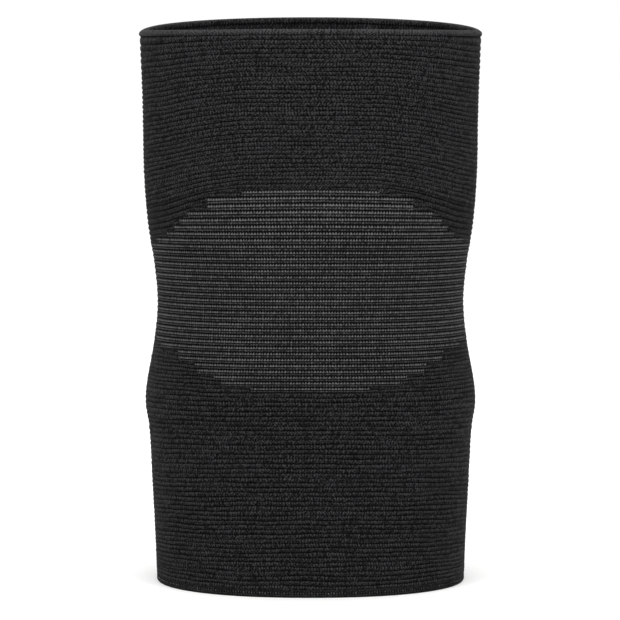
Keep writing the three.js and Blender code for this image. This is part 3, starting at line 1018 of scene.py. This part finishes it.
    def cut(self, name: str, start: int, end: int, fine: int, mask: np.ndarray,
            kind: CourseKind) -> bpy.types.Object:
        """Cuts one closed piece out of the cloth: outer skin, inner skin and the walls between at its edges.

        Args:
            name: Name of the piece.
            start: First grid row.
            end: Last grid row.
            fine: Outer rows to one inner row.
            mask: Cells that the piece has, inner rows by columns.
            kind: Whose shades and course count the piece takes.

        Returns:
            The piece.
        """
        base = end - start + 1
        inner_row = np.arange(start, end + 1, fine)
        ripple = smooth_noise(self.rng, len(inner_row), self.columns, *self.inner_blur)
        depth = self.wall + self.inner_ripple * ripple
        inner = self.form.point(self.angle[inner_row], self.inner_side[inner_row], depth)
        parts = MeshParts()
        # Outer skin, then inner skin, whose rows follow the outer ones in the grid.
        r, c = np.nonzero(mask.repeat(fine, axis=0))
        parts.add([r, r, r + 1, r + 1], [c, c + 1, c + 1, c])
        r, c = np.nonzero(mask)
        parts.add([base + r, base + r + 1, base + r + 1, base + r], [c, c, c + 1, c + 1])
        # Walls at a cell's left and right: a fan from the inner skin to each fine row, and one closing face.
        r, c = np.nonzero(mask & ~np.roll(mask, 1, axis=1))
        for step in range(fine):
            parts.add([r * fine + step, r * fine + step + 1, base + r], [c, c, c], True)
        parts.add([(r + 1) * fine, base + r + 1, base + r], [c, c, c], True)
        r, c = np.nonzero(mask & ~np.roll(mask, -1, axis=1))
        for step in range(fine):
            parts.add([r * fine + step + 1, r * fine + step, base + r], [c + 1, c + 1, c + 1], True)
        parts.add([base + r, base + r + 1, (r + 1) * fine], [c + 1, c + 1, c + 1], True)
        # Walls under and over a cell.
        empty = np.zeros((1, self.columns), dtype=bool)
        r, c = np.nonzero(mask & ~np.concatenate([empty, mask[:-1]]))
        parts.add([r * fine, r * fine, base + r, base + r], [c + 1, c, c, c + 1], True)
        r, c = np.nonzero(mask & ~np.concatenate([mask[1:], empty]))
        parts.add([(r + 1) * fine, (r + 1) * fine, base + r + 1, base + r + 1], [c, c + 1, c + 1, c], True)
        if kind is CourseKind.STRIPED:
            place, shade = self.rib_place, self.rib_shade
        else:
            place, shade = self.plain_place[start:end + 1], self.plain_shade[start:end + 1]
        inner_shade = self.inner_shade + self.inner_spread * ripple
        return parts.build(name, np.concatenate([self.points[start:end + 1], inner]),
                           np.concatenate([place, place[::fine]]), self.columns_a_wale,
                           np.concatenate([shade, inner_shade]))


@dataclass
class SleeveBody:
    """The plain knit: two lengths on the calf, the surround of the kneecap panel and the thigh."""

    cloth: KnitTube
    calf_split: int = 22
    calf_fine: int = 8
    thigh_fine: int = 17
    slack_girth: float = 0.36

    def build(self) -> list[bpy.types.Object]:
        """Cuts and dresses the four lengths of plain knit.

        Returns:
            The pieces, from the hem up.
        """
        cloth = self.cloth
        material = BODY_YARN.material()
        split = self.calf_split * PLAIN_ROWS
        # Name, first and last grid row, outer rows to an inner one, and slack length in metres.
        plan = (
            ("calf_knit_lower", 0, split, self.calf_fine, 0.044),
            ("calf_knit_upper", split, cloth.knee_start, self.calf_fine, 0.04),
            ("knee_surround_knit", cloth.knee_start, cloth.knee_end, RIB_ROWS, 0.085),
            ("thigh_knit", cloth.knee_end, cloth.rows, self.thigh_fine, 0.067),
        )
        pieces = []
        for name, start, end, fine, length in plan:
            whole = start != cloth.knee_start
            cells = np.ones(((end - start) // fine, cloth.columns), dtype=bool) if whole else ~cloth.mask
            piece = cloth.cut(name, start, end, fine, cells, CourseKind.PLAIN)
            dress(piece, material, ("sleeve_body",))
            pieces.append(piece)
        return pieces


@dataclass
class KneePanel:
    """The striped kneecap panel, knitted into the cloth along its stepped outline."""

    cloth: KnitTube
    slack_girth: float = 0.36
    slack_length: float = 0.085

    def build(self) -> bpy.types.Object:
        """Cuts and dresses the panel.

        Returns:
            The piece.
        """
        cloth = self.cloth
        piece = cloth.cut("knee_panel_knit", cloth.knee_start, cloth.knee_end, RIB_ROWS, cloth.mask,
                          CourseKind.STRIPED)
        dress(piece, PANEL_YARN.material(), ("knee_panel",))
        return piece


def closed_profile(corners: tuple[tuple[float, float], ...], count: int) -> np.ndarray:
    """Smooth closed curve through a table of corners, spaced evenly along it.

    Args:
        corners: Depth and height of each corner in mm.
        count: Points round the curve.

    Returns:
        Points, count by two: cubics with each corner's slope taken from its neighbours.
    """
    table = np.array(corners * 3)
    run = np.concatenate([[0.0], np.cumsum(np.linalg.norm(np.diff(table, axis=0), axis=1))])
    first, last = len(corners), 2 * len(corners)
    at = np.linspace(run[first], run[last], count, endpoint=False)
    return np.stack([hermite(run, table[:, 0], at), hermite(run, table[:, 1], at)], axis=1)


@dataclass
class EdgeRing:
    """A ring of knit round an edge: a closed profile carried round the leg, ridged at each wale.

    side: side height of the profile's foot in mm. corners: depth and height of the profile's corners in mm,
    with one of the shades at each. ridge and the other relief are in mm.
    """

    cloth: KnitTube
    name: str
    slot: str
    node: str
    finish: KnitFinish
    side: float
    corners: tuple[tuple[float, float], ...]
    shades: tuple[float, ...]
    seed: int
    points_round: int = 26
    ridge: float = 0.05
    loop_relief: float = 0.03
    soft_relief: float = 0.02
    outer_depths: tuple[float, float] = (2.2, 0.6)
    floor_fade: float = 0.8
    crown_shade: float = 0.14
    loop_shade: float = 0.05
    soft_shade: float = 0.04
    soft_blur: tuple[float, float] = (1.0, 5.0)
    points_a_course: int = 4

    def build(self) -> bpy.types.Object:
        """Sweeps the profile along the edge course and dresses the ring.

        Returns:
            The ring.
        """
        cloth = self.cloth
        profile = closed_profile(self.corners, self.points_round)
        sides = self.side + profile[:, 1]
        angles = cloth.wale_angles(np.clip(sides, 0, cloth.form.side_height))
        rng = np.random.default_rng(self.seed)
        loops = rng.standard_normal((1, cloth.wales)).repeat(cloth.columns_a_wale, axis=1)
        soft = smooth_noise(rng, self.points_round, cloth.columns, *self.soft_blur)
        middle = cloth.middle - 0.5
        outer = smooth_step(*self.outer_depths, profile[:, 0])[:, None]
        off_floor = smooth_step(0.0, self.floor_fade, sides)[:, None]
        relief = (2 * self.ridge * middle + self.loop_relief * loops + self.soft_relief * soft) * off_floor
        points = cloth.form.point(angles, sides[:, None], profile[:, :1] - relief * (2 * outer - 1))
        table = np.array(self.shades * 3)
        at = np.linspace(0, len(self.shades), self.points_round, endpoint=False)
        tone = np.interp(at, np.arange(len(self.shades) + 1), table[:len(self.shades) + 1])[:, None]
        # Painted light and shade round the profile from its shades table, and each crown painted paler than
        # its gap.
        shade = tone + self.crown_shade * middle + self.loop_shade * loops + self.soft_shade * soft
        r, c = (a.ravel() for a in np.mgrid[0:self.points_round, 0:cloth.columns])
        parts = MeshParts()
        parts.add([r, r, r + 1, r + 1], [c, c + 1, c + 1, c])
        place = np.arange(self.points_round + 1) / self.points_a_course
        piece = parts.build(self.name, points, place, cloth.columns_a_wale, shade)
        dress(piece, self.finish.material(), (self.node,))
        return piece


@dataclass
class HemStitches:
    """The row of sewing stitches that holds the turned hem: one small rounded stitch to a wale, in mm."""

    cloth: KnitTube
    side: float = 1.95
    depth: float = 0.08
    length: float = 0.7
    width: float = 0.5
    thick: float = 0.3
    side_spread: float = 0.06
    size_spread: float = 0.12
    shade: float = 0.5
    shade_spread: float = 0.25
    sides: int = 6
    rings: int = 3
    seed: int = 5

    def build(self) -> bpy.types.Object:
        """Sets an ellipsoid on every wale.

        With a round it and b down it, half the width times cos(a) sin(b) goes across the wale, half the
        thickness times sin(a) sin(b) out from the knit, and half the length times cos(b) up.

        Returns:
            All the stitches as one piece.
        """
        cloth = self.cloth
        wale = np.arange(cloth.wales)
        angle = cloth.wale_angles(np.array([self.side]))[0, 1::cloth.columns_a_wale]
        rng = np.random.default_rng(self.seed)
        side = self.side + self.side_spread * rng.standard_normal(cloth.wales)
        centre = cloth.form.point(angle, side, self.depth)
        out = cloth.form.point(angle, side, self.depth - 1.0) - centre
        across = np.stack([-out[:, 1], out[:, 0], np.zeros_like(angle)], axis=1)
        up = np.array([0.0, 0.0, 1.0])
        turn = -FULL_TURN * np.arange(self.sides) / self.sides
        fall = np.pi * np.arange(self.rings + 2) / (self.rings + 1)
        size = 1 + self.size_spread * rng.standard_normal(cloth.wales)
        a, b = np.meshgrid(turn, fall)
        local = np.stack([self.width / 2 * np.cos(a) * np.sin(b), self.thick / 2 * np.sin(a) * np.sin(b),
                          -self.length / 2 * np.cos(b)], axis=-1)
        points = (centre[:, None, None, :] + size[:, None, None, None] * (
            local[None, ..., :1] * across[:, None, None, :] + local[None, ..., 1:2] * out[:, None, None, :]
            + local[None, ..., 2:] * up))
        rows = self.rings + 2
        grid = points.reshape(cloth.wales * rows, self.sides, 3)
        band, round_ = np.arange(1, self.rings), np.arange(self.sides)
        w, r, c = (x.ravel() for x in np.meshgrid(wale * rows, band, round_))
        parts = MeshParts()
        parts.add([w + r, w + r, w + r + 1, w + r + 1], [c, c + 1, c + 1, c])
        w, c = (x.ravel() for x in np.meshgrid(wale * rows, round_))
        parts.add([w, w + 1, w + 1], [0 * c, c + 1, c])
        top = w + rows - 1
        parts.add([top, top - 1, top - 1], [0 * c, c, c + 1])
        shade = np.clip(self.shade + self.shade_spread * rng.standard_normal(cloth.wales), 0, 1)
        shades = np.broadcast_to(shade.repeat(rows)[:, None], grid.shape[:2])
        place = np.arange(cloth.wales * rows) / rows
        piece = parts.build("hem_stitches", grid, place, self.sides, shades.copy())
        dress(piece, HEM_THREAD.material(), ())
        return piece


@dataclass(frozen=True)
class SoftLight:
    """A large square area light aimed at the sleeve."""

    name: str
    place: tuple[float, float, float]
    size: float
    watts: float
    aim: tuple[float, float, float] = (0.0, 0.0, 0.12)

    def build(self) -> None:
        """Makes the light, facing the middle of the sleeve."""
        data = bpy.data.lights.new(self.name, "AREA")
        data.shape = "SQUARE"
        data.size = self.size
        data.energy = self.watts
        lamp = bpy.data.objects.new(self.name, data)
        turn = (Vector(self.aim) - Vector(self.place)).to_track_quat("-Z", "Y")
        lamp.matrix_world = Matrix.Translation(self.place) @ turn.to_matrix().to_4x4()
        bpy.context.scene.collection.objects.link(lamp)


@dataclass
class Studio:
    """Plain white floor and surroundings, soft lamps and the camera at the picture's angle, in metres."""

    camera_back: float = 2.1711
    camera_high: float = 0.3728
    camera_aside: float = -0.00022
    pitch_degrees: float = 6.664
    focal_pixels: float = 4977.0
    sensor_mm: float = 36.0
    world_strength: float = 1.12
    floor_reach: float = 12.0
    floor_code: str = "#f4f4f3"
    floor_roughness: tuple[float, float] = (0.75, 0.85)
    floor_specular: float = 0.1
    floor_mottle_scale: float = 30.0
    lamps: tuple[SoftLight, ...] = (
        SoftLight("top_softbox", (0.0, -0.2, 1.5), 1.4, 14.0),
        SoftLight("left_softbox", (-0.6, -0.75, 0.8), 0.4, 1.6),
        SoftLight("right_softbox", (0.6, -0.75, 0.8), 0.4, 1.6),
    )

    def build(self) -> None:
        """Makes the floor, lights and camera, and sets the plain view transform."""
        self.lay_floor()
        for lamp in self.lamps:
            lamp.build()
        world = bpy.data.worlds.new("white_surroundings")
        world.use_nodes = True
        world.node_tree.nodes.clear()
        sky = add_node(world.node_tree, "ShaderNodeBackground",
                       {"Color": (1, 1, 1, 1), "Strength": self.world_strength})
        add_node(world.node_tree, "ShaderNodeOutputWorld", links={"Surface": sky.outputs["Background"]})
        bpy.context.scene.world = world
        data = bpy.data.cameras.new("camera")
        data.sensor_width = self.sensor_mm
        data.lens = self.focal_pixels / IMAGE_PIXELS * self.sensor_mm
        camera = bpy.data.objects.new("camera", data)
        camera.location = (self.camera_aside, -self.camera_back, self.camera_high)
        camera.rotation_euler = (math.radians(90 - self.pitch_degrees), 0, 0)
        bpy.context.scene.collection.objects.link(camera)
        bpy.context.scene.camera = camera
        bpy.context.scene.view_settings.view_transform = "Standard"

    def lay_floor(self) -> None:
        """Lays the matte white floor that the hem stands on."""
        reach = self.floor_reach
        mesh = bpy.data.meshes.new("studio_floor")
        mesh.from_pydata([(-reach, -reach, 0), (reach, -reach, 0), (reach, reach, 0), (-reach, reach, 0)], [],
                         [(0, 1, 2, 3)])
        floor = bpy.data.objects.new("studio_floor", mesh)
        bpy.context.scene.collection.objects.link(floor)
        # Matte painted board: an even off-white with a barely mottled coat.
        material = bpy.data.materials.new("white_board_painted")
        material.use_nodes = True
        tree = material.node_tree
        tree.nodes.clear()
        place = add_node(tree, "ShaderNodeTexCoord")
        mottle = add_node(tree, "ShaderNodeTexNoise", {"Scale": self.floor_mottle_scale},
                          {"Vector": place.outputs["Object"]})
        least, most = self.floor_roughness
        rough = add_node(tree, "ShaderNodeMapRange", {"To Min": least, "To Max": most},
                         {"Value": mottle.outputs["Fac"]})
        shader = add_node(tree, "ShaderNodeBsdfPrincipled", {
            "Base Color": linear_rgba(self.floor_code),
            "Specular IOR Level": self.floor_specular,
        }, {"Roughness": rough.outputs[0]})
        add_node(tree, "ShaderNodeOutputMaterial", links={"Surface": shader.outputs["BSDF"]})
        mesh.materials.append(material)


# Profile of the rolled thigh edge: depth from the skin and height above its foot in mm, up the outside first.
THIGH_ROLL: tuple[tuple[float, float], ...] = (
    (0.55, 0.0), (0.05, 0.3), (-0.25, 0.9), (-0.28, 1.5), (-0.05, 2.15), (0.5, 2.62), (1.15, 2.78),
    (1.85, 2.6), (2.38, 2.1), (2.55, 1.4), (2.45, 0.6), (2.1, 0.1), (1.3, -0.15),
)
# Round the roll from its foot: painted light over the upturned crown, painted shade at the foot and down the
# inside.
THIGH_ROLL_SHADES: tuple[float, ...] = (
    0.2, 0.45, 0.62, 0.7, 0.78, 0.8, 0.72, 0.6, 0.5, 0.42, 0.36, 0.25, 0.2,
)

# Profile of the turned hem: a round lower roll, a channel under the stitches and the tuck against the knit.
HEM_TURN: tuple[tuple[float, float], ...] = (
    (0.75, 0.0), (0.3, 0.12), (0.06, 0.42), (0.0, 0.8), (0.1, 1.15), (0.42, 1.4), (0.24, 1.62), (0.14, 2.0),
    (0.22, 2.4), (0.45, 2.66), (0.22, 2.88), (0.2, 3.08), (0.5, 3.3), (1.3, 3.34), (2.1, 3.2), (2.28, 2.4),
    (2.3, 1.2), (2.1, 0.35), (1.85, 0.0), (1.3, 0.0),
)
# Round the hem: painted shade in the profile's two dips and under its lower roll.
HEM_TURN_SHADES: tuple[float, ...] = (
    0.15, 0.25, 0.35, 0.45, 0.4, 0.05, 0.3, 0.45, 0.4, 0.08,
    0.35, 0.4, 0.3, 0.3, 0.35, 0.4, 0.4, 0.3, 0.2, 0.15,
)


def main() -> None:
    logging.basicConfig(level=logging.INFO, format="%(name)s: %(message)s")
    cloth = KnitTube(LegForm())
    SleeveBody(cloth).build()
    KneePanel(cloth).build()
    EdgeRing(cloth, "calf_hem", "calf_welt_knit", "calf_welt", CALF_WELT_YARN, 0.0, HEM_TURN, HEM_TURN_SHADES,
             seed=8, points_round=40).build()
    HemStitches(cloth).build()
    EdgeRing(cloth, "thigh_roll", "thigh_welt_knit", "thigh_welt", THIGH_WELT_YARN, 238.2, THIGH_ROLL,
             THIGH_ROLL_SHADES, seed=10).build()
    Studio().build()


if __name__ == "__main__":
    main()
